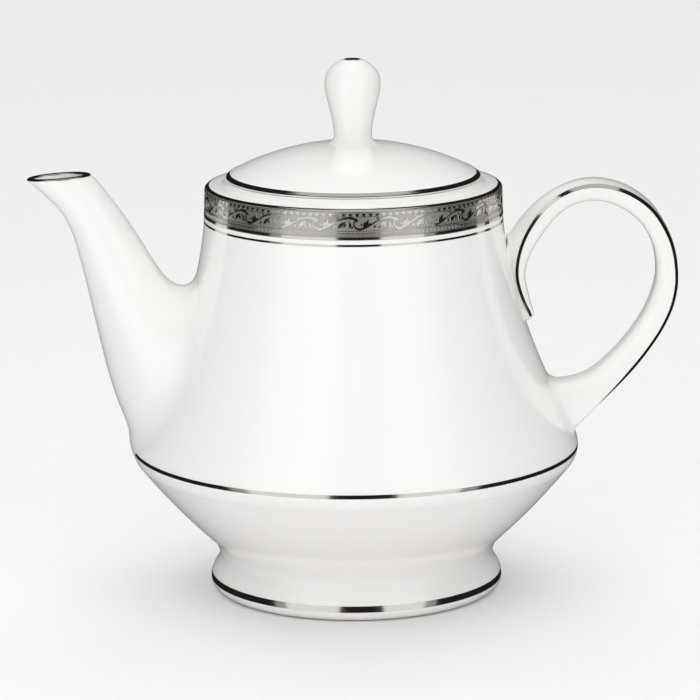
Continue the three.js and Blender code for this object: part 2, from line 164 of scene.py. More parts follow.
class TEAPOT_PG_finish(bpy.types.PropertyGroup):
    """Colours and gloss of the glaze and the metal."""

    china: colour_property("China", "Glazed bone china", (0.90, 0.892, 0.875))
    china_shade: colour_property("China shade", "Thicker glaze", (0.86, 0.865, 0.835))
    platinum: colour_property("Platinum", "Burnished", (0.74, 0.725, 0.69))
    platinum_shade: colour_property("Platinum shade", "Duller burnishing", (0.66, 0.645, 0.61))
    ground: colour_property("Etched ground", "Satin ground of the border", (0.60, 0.565, 0.525))
    ground_shade: colour_property("Etched shade", "Deeper bites of the acid", (0.46, 0.43, 0.39))
    glaze_roughness: share_property("Glaze roughness", "Gloss of the glaze", 0.05)
    bright_roughness: share_property("Bright roughness", "Gloss of burnished platinum", 0.07)
    satin_roughness: share_property("Satin roughness", "Gloss of the etched ground", 0.22)


class TEAPOT_PG_studio(bpy.types.PropertyGroup):
    """The table, the lights and the camera."""

    floor: colour_property("Table", "Pale table top", (0.96, 0.947, 0.953))
    floor_radius: length_property("Floor radius", "Reach of the pale floor", 40.0)
    lens: bpy.props.FloatProperty(
        name="Lens", description="Focal length", default=201.1, unit="CAMERA", subtype="DISTANCE_CAMERA"
    )
    distance: length_property("Camera distance", "From the camera to the pot", 1.349)
    rise: angle_property("Camera rise", "Angle above the table", 12.43)
    roll: angle_property("Camera roll", "Tilt of the camera", 0.48)
    aim: bpy.props.FloatVectorProperty(
        name="Aim", description="Point that the camera looks at", default=(-0.0016, 0, 0.08315),
        subtype="XYZ",
    )


# ------------------------------------------------------------------ outlines


def bezier(points, count):
    """Points along a Bezier curve of any degree."""
    found = []
    for i in range(count + 1):
        level = [Vector(p) for p in points]
        while len(level) > 1:
            level = [a.lerp(b, i / count) for a, b in zip(level, level[1:])]
        found.append(level[0])
    return found


def arc(middle, radius, start, stop, count):
    """Points along an arc, with its angles in degrees."""
    angles = [math.radians(start + (stop - start) * i / count) for i in range(count + 1)]
    return [
        Vector((middle[0] + radius * math.cos(a), middle[1] + radius * math.sin(a))) for a in angles
    ]


def rounded(before, after, radius, count):
    """Joins two outlines that meet in a corner, and rounds the corner."""
    corner = before[-1]
    a = (before[-2] - corner).normalized()
    b = (after[1] - corner).normalized()
    half = a.angle(b) / 2
    reach = radius / math.tan(half)
    middle = corner + (a + b).normalized() * radius / math.sin(half)
    first = corner + a * reach - middle
    last = corner + b * reach - middle
    start = math.degrees(math.atan2(first.y, first.x))
    stop = math.degrees(math.atan2(last.y, last.x))
    return (
        [p for p in before if (p - corner).length > reach * 1.02]
        + arc(middle, radius, start, stop, count)
        + [p for p in after if (p - corner).length > reach * 1.02]
    )


def moved_out(outline, amount):
    """Moves an outline that runs downwards away from the axis."""
    out = []
    for i, point in enumerate(outline):
        along = (outline[min(i + 1, len(outline) - 1)] - outline[max(i - 1, 0)]).normalized()
        out.append(point + Vector((-along.y, along.x)) * amount)
    return out


def at_height(outline, z):
    """The point of a downward outline at one height."""
    for above, below in zip(outline, outline[1:]):
        if above.y >= z >= below.y:
            share = (above.y - z) / max(above.y - below.y, 1e-9)
            return above.lerp(below, share)
    raise ValueError(f"the outline has no point at {z}")


def stretch(outline, top, bottom):
    """The stretch of a downward outline between two heights."""
    gap = 0.02 * MM
    between = [p for p in outline if bottom + gap < p.y < top - gap]
    return [at_height(outline, top), *between, at_height(outline, bottom)]


def through(points, spans=10):
    """A smooth curve through given points, of any number of values each."""
    p = np.array(points, float)
    p = np.vstack([2 * p[0] - p[1], p, 2 * p[-1] - p[-2]])
    found = []
    for i in range(1, len(p) - 2):
        for j in range(spans):
            found.append(blend_four(p[i - 1 : i + 3], j / spans))
    found.append(p[-2])
    return np.array(found)


def blend_four(p, t):
    """One point of a Catmull-Rom span."""
    return 0.5 * (
        2 * p[1]
        + (p[2] - p[0]) * t
        + (2 * p[0] - 5 * p[1] + 4 * p[2] - p[3]) * t**2
        + (3 * p[1] - p[0] - 3 * p[2] + p[3]) * t**3
    )


def pot_side(pot):
    """The outside of the pot from under the rim, over the waist, to the bottom of the cone."""
    corner = (pot.waist_radius, pot.waist_height)
    top = (pot.rim_radius, pot.rim_height)
    pulls = [(pot.rim_radius, pot.bell_upper), (pot.bell_radius, pot.bell_lower)]
    bell = bezier([top, *pulls, corner], 64)
    end = Vector((pot.cone_radius, pot.cone_height))
    run = (end - Vector(corner)).normalized()
    swell = Vector(corner).lerp(end, 0.5) + Vector((-run.y, run.x)) * 2 * pot.cone_bulge
    cone = bezier([corner, swell, end], 28)
    return rounded(bell, cone, pot.waist_round, 14)


# ------------------------------------------------------------------ modelling helpers


def clear_selection():
    if bpy.context.mode != "OBJECT":
        bpy.ops.object.mode_set(mode="OBJECT")
    bpy.ops.object.select_all(action="DESELECT")


def pick(piece):
    """Selects one piece alone."""
    clear_selection()
    piece.select_set(True)
    bpy.context.view_layer.objects.active = piece


def name_active(name):
    piece = bpy.context.view_layer.objects.active
    piece.name = name
    piece.data.name = name
    return piece


def settle(piece, angle=35):
    """Leaves a piece at the origin, smooth apart from its sharp edges."""
    pick(piece)
    bpy.ops.object.transform_apply(location=True, rotation=True, scale=True)
    bpy.ops.object.shade_smooth_by_angle(angle=math.radians(angle))
    return piece


def face_out(piece):
    """Turns every face of a closed piece outwards."""
    shape = bmesh.new()
    shape.from_mesh(piece.data)
    bmesh.ops.recalc_face_normals(shape, faces=shape.faces)
    if shape.calc_volume(signed=True) < 0:
        bmesh.ops.reverse_faces(shape, faces=shape.faces)
    shape.to_mesh(piece.data)
    shape.free()
    piece.data.update()


def turned(name, outline, steps=ROUND_STEPS, closed=False):
    """Draws an outline beside the axis and spins it; closed joins its last point to its first."""
    clear_selection()
    bpy.ops.mesh.primitive_plane_add(size=MM, location=(outline[0][0], 0, outline[0][1]))
    piece = name_active(name)
    bpy.ops.object.mode_set(mode="EDIT")
    bpy.ops.mesh.merge(type="CENTER")
    points = [*outline, outline[0]] if closed else outline
    for here, there in zip(points, points[1:]):
        step = (there[0] - here[0], 0, there[1] - here[1])
        bpy.ops.mesh.extrude_vertices_move(TRANSFORM_OT_translate={"value": step})
    bpy.ops.mesh.select_all(action="SELECT")
    bpy.ops.mesh.remove_doubles(threshold=1e-7)
    bpy.ops.mesh.select_all(action="SELECT")
    bpy.ops.mesh.spin(steps=steps, angle=2 * math.pi, center=(0, 0, 0), axis=(0, 0, 1))
    bpy.ops.mesh.select_all(action="SELECT")
    bpy.ops.mesh.remove_doubles(threshold=MERGE_GAP)
    bpy.ops.object.mode_set(mode="OBJECT")
    face_out(piece)
    return settle(piece)


def cut(piece, cutters):
    """Joins the cutters, and cuts them out of a piece."""
    tool = cutters[0]
    pick(tool)
    for cutter in cutters[1:]:
        cutter.select_set(True)
    if len(cutters) > 1:
        bpy.ops.object.join()
    pick(piece)
    holes = piece.modifiers.new("holes", "BOOLEAN")
    holes.operation = "DIFFERENCE"
    holes.solver = "MANIFOLD"
    holes.object = tool
    bpy.ops.object.modifier_apply(modifier=holes.name)
    bpy.data.objects.remove(tool)
    return settle(piece)


def drill(radius, length, place, direction):
    """A round cutter with its middle at a place."""
    bpy.ops.mesh.primitive_cylinder_add(
        vertices=24, radius=radius, depth=length, location=place,
        rotation=UP.rotation_difference(Vector(direction)).to_euler(),
    )
    return bpy.context.view_layer.objects.active


def grid_faces(count, around, wrap_rows=False):
    """Faces between rings of points; wrap_rows joins the last ring to the first."""
    faces = []
    for i in range(count if wrap_rows else count - 1):
        n = (i + 1) % count
        for j in range(around):
            k = (j + 1) % around
            faces.append((i * around + j, i * around + k, n * around + k, n * around + j))
    return faces


def from_faces(name, points, faces):
    """A piece made of points and faces, picked for the next operator."""
    mesh = bpy.data.meshes.new(name)
    mesh.from_pydata(points, [], faces)
    piece = bpy.data.objects.new(name, mesh)
    bpy.context.scene.collection.objects.link(piece)
    pick(piece)
    return piece


def from_grid(name, rows, wrap_rows=True):
    """A closed piece of rings of points: its ends are capped unless its rows wrap round."""
    rows = np.asarray(rows)
    count, around = rows.shape[:2]
    faces = grid_faces(count, around, wrap_rows)
    if not wrap_rows:
        faces.append(tuple(range(around))[::-1])
        faces.append(tuple((count - 1) * around + j for j in range(around)))
    piece = from_faces(name, rows.reshape(-1, 3).tolist(), faces)
    face_out(piece)
    return settle(piece)


# ------------------------------------------------------------------ materials


class Signal:
    """A shader socket that adds Math nodes when it is used in an expression."""

    def __init__(self, shader, socket):
        self.shader = shader
        self.socket = socket

    def maths(self, operation, other):
        return self.shader.node("ShaderNodeMath", {"operation": operation}, {0: self, 1: other})

    def __add__(self, other):
        return self.maths("ADD", other)

    def __mul__(self, other):
        return self.maths("MULTIPLY", other)


class Shader:
    """A material, and one method that adds any node to it."""

    def __init__(self, name):
        self.material = bpy.data.materials.new(name)
        self.material.use_nodes = True
        self.tree = self.material.node_tree
        self.surface = self.tree.nodes["Principled BSDF"]

    def node(self, kind, settings=None, values=None, output=0):
        made = self.tree.nodes.new(kind)
        for key, value in (settings or {}).items():
            if key == "stops":
                set_stops(made.color_ramp, value)
            else:
                setattr(made, key, value)
        for key, value in (values or {}).items():
            self.feed(made.inputs[key], value)
        return Signal(self, made.outputs[output])

    def feed(self, socket, value):
        if isinstance(value, Signal):
            self.tree.links.new(value.socket, socket)
        else:
            socket.default_value = value

    def finish(self, **values):
        for key, value in values.items():
            self.feed(self.surface.inputs[key.replace("_", " ")], value)
        return self.material

    def place(self):
        return self.node("ShaderNodeTexCoord", output="Object")

    def noise(self, vector, scale, detail=2.0, roughness=0.5):
        values = {"Vector": vector, "Scale": scale, "Detail": detail, "Roughness": roughness}
        return self.node("ShaderNodeTexNoise", {}, values, output="Fac")

    def ramp(self, factor, *stops):
        return self.node("ShaderNodeValToRGB", {"stops": stops}, {"Fac": factor})

    def mix(self, factor, first, second):
        settings = {"data_type": "RGBA"}
        values = {"Factor": factor, 6: first, 7: second}
        return self.node("ShaderNodeMix", settings, values, output=2)

    def bump(self, height, strength, distance):
        values = {"Height": height, "Strength": strength, "Distance": distance}
        return self.node("ShaderNodeBump", {}, values, output="Normal")


def set_stops(ramp, stops):
    """Places a ramp's stops, each a position and a grey value."""
    while len(ramp.elements) < len(stops):
        ramp.elements.new(1.0)
    for element, (position, grey) in zip(ramp.elements, stops):
        element.position = position
        element.color = (grey, grey, grey, 1)


def rgba(colour):
    return (*colour, 1)


def glazed_china(finish):
    """Warm white body under a clear glaze that lies a little uneven."""
    shader = Shader("glazed_china")
    place = shader.place()
    pooling = shader.ramp(shader.noise(place, 14.0, 3.0), (0.35, 0.0), (0.75, 1.0))
    ripple = shader.noise(place, 120.0, 1.0)
    dimple = shader.noise(place, 900.0, 2.0)
    height = ripple * 0.8 + dimple * 0.2
    return shader.finish(
        Base_Color=shader.mix(pooling, rgba(finish.china), rgba(finish.china_shade)),
        Roughness=shader.noise(place, 40.0, 2.0) * 0.03 + (finish.glaze_roughness - 0.015),
        Normal=shader.bump(height, 0.06, 0.0004),
        IOR=1.52,
        Subsurface_Weight=0.12,
        Subsurface_Radius=(1.0, 0.9, 0.75),
        Subsurface_Scale=0.0025,
        Coat_Weight=0.35,
        Coat_Roughness=0.02,
    )


def bright_platinum(finish):
    """Burnished platinum with faint rubbing marks."""
    shader = Shader("bright_platinum")
    place = shader.place()
    rub = shader.noise(place, 260.0, 4.0, 0.6)
    return shader.finish(
        Base_Color=shader.mix(rub, rgba(finish.platinum), rgba(finish.platinum_shade)),
        Metallic=1.0,
        Roughness=rub * 0.06 + (finish.bright_roughness - 0.02),
        Normal=shader.bump(shader.noise(place, 700.0, 2.0), 0.05, 0.0002),
    )


def etched_platinum(finish):
    """Acid-bitten satin ground with a fine grain."""
    shader = Shader("etched_platinum")
    place = shader.place()
    grain = shader.noise(place, 3200.0, 3.0, 0.7)
    bite = shader.ramp(shader.noise(place, 900.0, 3.0, 0.6), (0.3, 0.0), (0.7, 1.0))
    return shader.finish(
        Base_Color=shader.mix(bite * 0.6, rgba(finish.ground), rgba(finish.ground_shade)),
        Metallic=1.0,
        Roughness=grain * 0.36 + (finish.satin_roughness - 0.18),
        Normal=shader.bump(grain, 0.35, 0.00012),
    )


MAKERS = {
    "glazed_china": glazed_china,
    "bright_platinum": bright_platinum,
    "etched_platinum": etched_platinum,
}


def paint(piece, slot):
    """Gives a piece its material, made the first time that it is needed."""
    material = bpy.data.materials.get(slot) or MAKERS[slot](bpy.context.scene.teapot_finish)
    piece.data.materials.clear()
    piece.data.materials.append(material)


def deliver(piece, body, slot, *nodes):
    """Gives a finished piece its material, its body and slot, and the frame nodes it stands for."""
    paint(piece, slot)
    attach(piece, body)
    if nodes:
        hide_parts(*nodes)


# ------------------------------------------------------------------ pot


SHOULDER_EDGE = 48.6 * MM
COVE_MIDDLE = 45.7 * MM
COVE_RADIUS = 1.95 * MM
SEAT_WIDTH = 4.4 * MM
MOUTH_ROUND = 0.7 * MM
STRAINER_ROWS = (2, 3, 4, 3, 2)
STRAINER_PITCH = 7 * MM
STRAINER_HEIGHT = 80 * MM
STRAINER_HOLE = 1.9 * MM


class TEAPOT_OT_pot_body(bpy.types.Operator):
    """Spins the bell-shaped pot with its rim, seat and floor, and drills the strainer."""

    bl_idname = "teapot.pot_body"
    bl_label = "Pot body"

    def execute(self, context):
        pot = context.scene.teapot_pot
        side = pot_side(pot)
        neck, base = pot.cone_radius, pot.base_height
        underside = bezier([(neck - 4 * MM, base), (neck - 1 * MM, base), (neck, pot.cone_height)], 6)
        cove = arc((COVE_MIDDLE, pot.shoulder_height + COVE_RADIUS), COVE_RADIUS, -90, -172, 8)
        outline = [
            Vector((0, base)),
            *underside,
            *side[::-1][1:],
            *arc(ROLL, ROLL_RADIUS, 0, 88, 14),
            Vector((SHOULDER_EDGE, pot.shoulder_height)),
            *cove,
            Vector((pot.mouth_radius + SEAT_WIDTH, pot.seat_height)),
            *self.inside(pot, side),
            Vector((0, pot.floor_height)),
        ]
        piece = cut(turned("pot_body", outline, FINE_STEPS), self.strainer(side))
        deliver(piece, "pot", "glazed_china", "body_shell")
        return {"FINISHED"}

    @staticmethod
    def inside(pot, side):
        """The mouth, the inside wall and its rounded foot."""
        seat, mouth = pot.seat_height, pot.mouth_radius
        wall = moved_out(stretch(side, seat - 9 * MM, pot.floor_height + 3 * MM), -pot.wall)
        top, corner = wall[0], wall[-1]
        pull = top + Vector((-1.2 * MM, 2 * MM))
        throat = bezier([(mouth, seat - 4 * MM), (mouth, seat - 7 * MM), pull, top], 10)
        floor = pot.floor_height
        floor_round = bezier([corner, (corner.x - 1.9 * MM, floor), (corner.x - 6 * MM, floor)], 8)
        return [
            *arc((mouth + MOUTH_ROUND, seat - MOUTH_ROUND), MOUTH_ROUND, 90, 180, 5),
            *throat,
            *wall[1:],
            *floor_round[1:],
        ]

    @staticmethod
    def strainer(side):
        """Drills for the holes behind the spout that hold back the leaves."""
        drills = []
        for row, count in enumerate(STRAINER_ROWS):
            z = STRAINER_HEIGHT + (row - 2) * STRAINER_PITCH * math.sqrt(3) / 2
            for i in range(count):
                place = (-at_height(side, z).x, (i - (count - 1) / 2) * STRAINER_PITCH, z)
                drills.append(drill(STRAINER_HOLE, 24 * MM, place, (1, 0, 0)))
        return drills


FOOT_BORE = 44.6 * MM
FOOT_STAND = 46.4 * MM


class TEAPOT_OT_foot(bpy.types.Operator):
    """Spins the foot that the pot stands on."""

    bl_idname = "teapot.foot"
    bl_label = "Foot"

    def execute(self, context):
        pot = context.scene.teapot_pot
        outline = [
            *foot_side(pot),
            *bezier([(46.0 * MM, 0), (45.2 * MM, 0.2 * MM), (FOOT_BORE, 1.6 * MM)], 5),
            Vector((43.9 * MM, pot.cone_height)),
        ]
        piece = turned("foot", outline, closed=True)
        deliver(piece, "pot", "glazed_china", "foot_ring")
        return {"FINISHED"}


def foot_side(pot):
    """The foot's outside: a fillet, a slim neck, and a flare that rolls under at the table."""
    cone = pot_side(pot)
    neck, wide = pot.foot_neck, pot.foot_radius
    start = at_height(cone, pot.foot_top + 3.0 * MM) + Vector((0.02 * MM, 0))
    corner = at_height(cone, pot.foot_top + 0.6 * MM)
    fillet = bezier([start, corner, (neck, pot.foot_top - 3.4 * MM)], 12)
    flare = bezier([fillet[-1], (neck, 9.2 * MM), (wide, 8.2 * MM), (wide, 3.5 * MM)], 18)
    roll = bezier([flare[-1], (wide, 1.5 * MM), (48.6 * MM, 0), (FOOT_STAND, 0)], 10)
    return [*fillet, *flare[1:], *roll[1:]]


# ------------------------------------------------------------------ spout and handle


class Skin:
    """A signed distance to the pot's outside, and to a closed skin that is luted on to it."""

    def __init__(self, side, rows):
        self.side = np.array([tuple(p) for p in side])
        rows = np.asarray(rows)
        self.tree = BVHTree.FromPolygons(rows.reshape(-1, 3).tolist(), grid_faces(*rows.shape[:2]))
        self.middle = rows.mean(axis=1)

    def from_pot(self, point):
        """Distance to the pot's outside, and the direction away from it."""
        flat = np.array((math.hypot(point[0], point[1]), point[2]))
        start = self.side[:-1]
        run = self.side[1:] - start
        share = np.clip(((flat - start) * run).sum(1) / (run**2).sum(1), 0, 1)
        nearest = start + run * share[:, None]
        gaps = np.linalg.norm(flat - nearest, axis=1)
        i = int(gaps.argmin())
        normal = np.array((-run[i][1], run[i][0])) / np.linalg.norm(run[i])
        distance = float((flat - nearest[i]) @ normal)
        if gaps[i] > 1e-9 and distance > 0:
            normal = (flat - nearest[i]) / gaps[i]
            distance = gaps[i]
        spread = normal[0] / max(flat[0], 1e-9)
        return distance, np.array((point[0] * spread, point[1] * spread, normal[1]))

    def from_skin(self, point):
        """Distance to the luted skin, and the direction away from it."""
        nearest, normal, _, gap = self.tree.find_nearest(Vector(point))
        away = Vector(point) - nearest
        middle = self.middle[np.linalg.norm(self.middle - np.array(nearest), axis=1).argmin()]
        if normal.dot(nearest - Vector(middle)) < 0:
            normal = -normal
        if away.length > 1e-7:
            sign = 1 if away.dot(normal) >= 0 else -1
            return sign * gap, np.array(away.normalized() * sign)
        return 0.0, np.array(normal)

    def softened(self, point, reach, sink):
        """Moves a point on to the soft union of the pot and the skin."""
        p = np.array(point, float)
        for _ in range(12):
            pot, away_pot = self.from_pot(p)
            pot += sink
            skin, away_skin = self.from_skin(p)
            h = min(max(0.5 + 0.5 * (pot - skin) / reach, 0), 1)
            value = pot * (1 - h) + skin * h - reach * h * (1 - h)
            slope = away_pot * (1 - h) + away_skin * h
            step = value / max(float(slope @ slope), 0.25)
            p -= slope * step
            if abs(value) < 1e-6:
                break
        return p


# Points along and up of the spout's underside and upper side, and half its width, from the mouth down.
SPOUT_UNDER = [
    (-111.5, 143.6), (-105.7, 138.5), (-100.3, 132.8), (-96.6, 125.6), (-94.0, 116.4), (-91.8, 107.2),
    (-89.6, 97.0), (-87.2, 86.0), (-84.4, 74.4), (-80.6, 63.0), (-75.0, 54.2),
]
SPOUT_OVER = [
    (-89.7, 145.1), (-87.3, 142.9), (-83.4, 137.8), (-78.6, 131.2), (-73.6, 123.3), (-69.2, 115.8),
    (-65.0, 109.6), (-59.6, 105.0), (-53.0, 101.0), (-47.0, 95.0), (-42.0, 88.0),
]
SPOUT_HALF = [7.3, 7.6, 8.2, 9.2, 10.8, 13.0, 15.8, 19.2, 22.6, 24.5, 23.0]
SPOUT_WALL = 2.3 * MM
SPOUT_SIDES = 96
SPOUT_FILLET = 9.5 * MM
SPOUT_SINK = 0.06 * MM
SPOUT_SKIRT = np.array([0.6, 1.3, 2.1, 3, 4, 5.2, 6.6, 8.2, 10, 12]) * MM


def spout_lines():
    """Underside, upper side and half width of the spout at even steps from the mouth."""
    table = [(*u, *o, h) for u, o, h in zip(SPOUT_UNDER, SPOUT_OVER, SPOUT_HALF)]
    return through(table, 12) * MM


def spout_ring(line, inset=0.0, rise=0.0):
    """One oval ring of the spout, drawn in by a wall, and lifted along the mouth's axis."""
    under = np.array((line[0], 0, line[1]))
    over = np.array((line[2], 0, line[3]))
    middle = (under + over) / 2
    reach = (over - under) / 2
    length = np.linalg.norm(reach)
    along = reach / length
    axis = np.array((-along[2], 0, along[0]))
    angles = np.linspace(0, 2 * math.pi, SPOUT_SIDES, endpoint=False)
    ring = middle + np.outer(np.cos(angles), along * (length - inset))
    ring[:, 1] += np.sin(angles) * (line[4] - inset)
    return ring + axis * rise


def lip_rows(line, start, stop, count, lift=0.0):
    """Rings over the rounded lip, from the outside to the bore, for angles in degrees."""
    half = SPOUT_WALL / 2
    rows = []
    for i in range(count + 1):
        a = math.radians(start + (stop - start) * i / count)
        inset = half - (half + lift) * math.cos(a)
        rows.append(spout_ring(line, inset, (0.55 * half + lift) * math.sin(a)))
    return rows


def along(line, places):
    """Points at fractional places along a line of points."""
    before = np.minimum(places.astype(int), len(line) - 2)
    return line[before] + (line[before + 1] - line[before]) * (places - before)[:, None]


def depths(skin, line):
    """Distance of each point of a line to the pot's outside, below 0 inside the pot."""
    return np.array([skin.from_pot(p)[0] for p in line])


def blend_to_pot(skin, rows, reach, sink, skirt):
    """Softens rows of a skin that ends in the pot, and spreads a skirt of clay over the pot from it.

    The rows run from the free end into the pot. Each lengthwise line is cut where it enters the pot.
    """
    rows = np.asarray(rows)
    count, around = rows.shape[:2]
    cut_rows = np.empty_like(rows)
    for j in range(around):
        depth = depths(skin, rows[:, j])
        last = int(np.nonzero(depth < 0)[0][0])
        end = last - 1 + depth[last - 1] / (depth[last - 1] - depth[last])
        cut_rows[:, j] = along(rows[:, j], np.linspace(0, 1, count) ** 0.8 * end)
    skirts = spread(skin, cut_rows[-1], skirt)
    for row in [*cut_rows, *skirts]:
        for j in range(around):
            if skin.from_pot(row[j])[0] < reach * 1.3:
                row[j] = skin.softened(row[j], reach, sink)
    return cut_rows, skirts


def spread(skin, entry, steps):
    """Rows that spread from an entry line over the pot's outside, each by one of the steps."""
    forward = np.roll(entry, -1, 0) - np.roll(entry, 1, 0)
    centre = entry.mean(0)
    away = np.empty_like(entry)
    for j in range(len(entry)):
        away[j] = np.cross(forward[j], skin.from_pot(entry[j])[1])
        away[j] /= max(np.linalg.norm(away[j]), 1e-12)
        if away[j] @ (entry[j] - centre) < 0:
            away[j] = -away[j]
    return np.array([entry + away * step for step in steps])


class TEAPOT_OT_spout(bpy.types.Operator):
    """Lofts the hollow spout and lutes it to the pot."""

    bl_idname = "teapot.spout"
    bl_label = "Spout"

    def execute(self, context):
        lines = spout_lines()
        outer = [spout_ring(line) for line in lines]
        skin = Skin(pot_side(context.scene.teapot_pot), outer)
        rows, skirts = blend_to_pot(skin, outer, SPOUT_FILLET, SPOUT_SINK, SPOUT_SKIRT)
        inner = self.bore_rows(skin, np.array([spout_ring(line, SPOUT_WALL) for line in lines]))
        lip = lip_rows(lines[0], 0, 180, 12)
        grid = [*skirts[::-1], *rows[::-1], *lip[1:-1], *inner]
        deliver(from_grid("spout", grid), "pot", "glazed_china", "spout")
        return {"FINISHED"}

    @staticmethod
    def bore_rows(skin, bore):
        """The bore's rows, cut where each line meets the pot's wall."""
        rows = np.empty_like(bore)
        for j in range(bore.shape[1]):
            last = int(np.nonzero(depths(skin, bore[:, j]) < -1.0 * MM)[0][0])
            rows[:, j] = along(bore[:, j], np.linspace(0, last, len(bore)))
        return rows


class TEAPOT_OT_spout_lip(bpy.types.Operator):
    """Lays the platinum ring over the spout's lip."""

    bl_idname = "teapot.spout_lip"
    bl_label = "Spout lip line"

    def execute(self, context):
        film = context.scene.teapot_trim.film
        line = spout_lines()[0]
        outer = lip_rows(line, 4, 176, 14, film)
        inner = lip_rows(line, 4, 176, 6, -0.25 * MM)
        piece = from_grid("spout_lip_ring", [*outer, *inner[::-1]])
        deliver(piece, "pot", "bright_platinum", "spout_lip_line")
        return {"FINISHED"}


# The strap from its curled tip to its lower root: points along and up of its outer and inner edge, half
# its width, how far its back is crowned, and how far its corner slants across for each step down.
HANDLE_OUTER = [
    (60.4, 94.5), (57.3, 101.5), (55.2, 109.5), (55.8, 117.5), (58.9, 125.8), (64.9, 134.2),
    (73.0, 139.8), (82.6, 141.8), (93.2, 139.4), (102.6, 132.6), (108.8, 121.7), (110.8, 110.4), (109.7, 100.6),
    (106.1, 91.8), (100.5, 83.1), (93.9, 75.0), (87.2, 68.0), (80.8, 61.9), (74.4, 56.2), (67.6, 52.4),
]
HANDLE_INNER = [
    (61.9, 95.5), (60.0, 102.5), (58.7, 109.8), (60.3, 116.6), (64.2, 123.4), (69.4, 130.0),
    (75.2, 134.0), (82.4, 135.4), (90.2, 133.4), (97.8, 127.8), (102.2, 119.8), (103.6, 110.6), (102.2, 103.0),
    (98.8, 95.2), (93.4, 87.2), (87.2, 80.4), (80.6, 74.9), (74.2, 72.6), (67.0, 72.0), (61.0, 71.8),
]
HANDLE_HALF = [1.5, 5.4, 7.3, 8, 8, 8, 8, 8, 8, 8, 8, 8, 8, 8, 8, 8.2, 8.9, 10.0, 11.4, 11.6]
HANDLE_CROWN = [
    2.4, 3.0, 4.0, 4.6, 3.4, 1.9, 1.0, 0.5, 0.3, 0.2, 0.2, 0.2, 0.2, 0.2, 0.3, 0.4, 0.5, 0.6, 0.6, 0.6,
]
HANDLE_SLANT = [0.05, 0.05, 0.05, 0.06, 0.08, 0.3, 0.75, *[1] * 13]
LOWER_ROOT = 0.55
HANDLE_FILLET = 3.2 * MM
HANDLE_SKIRT = np.array([0.5, 1.1, 1.8, 2.6, 3.5, 4.6, 6.0]) * MM
HANDLE_SINK = 0.05 * MM

# How much of the strap its lines cover, the first point of a ring's corner, the reach of the fillet at
# the upper root, and the steps in millimetres by which it spreads sideways.
LINE_SHARE = 0.87
CORNER_START = 7
WELD_FILLET = 3.0 * MM
WELD_SKIRT = (4.0, 3.2, 2.5, 1.8, 1.2, 0.7, 0.3)

# A line's section: shares across the chamfer, and films above it.
LINE_SECTION = (
    (-0.5, -0.1), (-0.46, 1), (-0.2, 1.1), (0.2, 1.1), (0.46, 1), (0.5, -0.1), (0.4, -2), (-0.4, -2),
)


def handle_lines():
    """Outer edge, inner edge, half width, crown and slant of the strap at even steps from its tip."""
    columns = zip(HANDLE_OUTER, HANDLE_INNER, HANDLE_HALF, HANDLE_CROWN, HANDLE_SLANT)
    return through([(*o, *i, h, c, t) for o, i, h, c, t in columns], 9) * MM


def strap_frame(line, corner):
    """Middle, way out, half depth, half width, crown, and the corner's cut down and across."""
    outer = np.array((line[0], 0, line[1]))
    inner = np.array((line[2], 0, line[3]))
    out = outer - inner
    deep = np.linalg.norm(out) / 2
    corner = min(corner, deep)
    slant = corner * line[6] / MM
    return (outer + inner) / 2, out / (2 * deep), deep, line[4], line[5], corner, slant


def strap_ring(line, corner):
    """Half a ring of the strap, from the top of its back to the middle of its rounded inside."""
    middle, out, deep, half, crown, corner, slant = strap_frame(line, corner)
    face = [
        (deep + crown * math.cos(math.pi / 2 * a) ** 1.3, a * (half - slant))
        for a in np.linspace(0, 1, CORNER_START + 1)[:-1]
    ]
    turn = [(deep - corner * share, half - slant * (1 - share)) for share in (0.0, 0.08, 0.5, 0.92)]
    inside = [
        (deep - corner - (2 * deep - corner) * math.sin(a) ** 0.556,
         half * max(math.cos(a), 0) ** 0.556)
        for a in np.linspace(0, math.pi / 2, 14)
    ]
    return np.array([middle + out * o + np.array((0, y, 0)) for o, y in face + turn + inside])


def both_sides(half):
    """Closes half a ring with its mirror image."""
    return np.vstack([half, half[-2:0:-1] * (1, -1, 1)])


def from_place(half, start):
    """Half a ring from a place on its back on; its corner's and its inside's points stay in place."""
    if start < CORNER_START - 0.2:
        back = along(half, np.linspace(start, CORNER_START, CORNER_START + 1)[:-1])
        return np.vstack([back, half[CORNER_START:]])
    return along(half, np.linspace(start, len(half) - 1, len(half)))


def crowded(half):
    """Half a ring with eight more of its points close to the top of its back."""
    return np.vstack([along(half, np.linspace(0, 0.44, 8)), from_place(half, 0.5)])


def welded(skin, half):
    """Half a ring near the pot: where its back stands in the pot its side flares out in a fillet.

    The fillet thins out towards the corner that carries the platinum line.
    """
    edge = half[CORNER_START + 2]
    points = crowded(half)
    depth = depths(skin, half)
    buried = np.nonzero(depth < 0)[0]
    if len(buried):
        i = int(buried[-1])
        start = i + depth[i] / (depth[i] - depth[i + 1])
        outside = from_place(half, start)
        normal = skin.from_pot(outside[0])[1]
        across = np.array((0, 1, 0)) - normal * normal[1]
        across /= np.linalg.norm(across)
        size = min(1, start / 3)
        points = [half[0], *(outside[0] + across * step * size * MM for step in WELD_SKIRT), *outside]
    moved = [points[0]]
    for p in points[1:]:
        reach = min(max(0.8 * np.linalg.norm(p - edge), 0.5 * MM), WELD_FILLET)
        near = skin.from_pot(p)[0] < reach * 1.2
        moved.append(skin.softened(p, reach, HANDLE_SINK) if near else p)
    return np.array(moved)


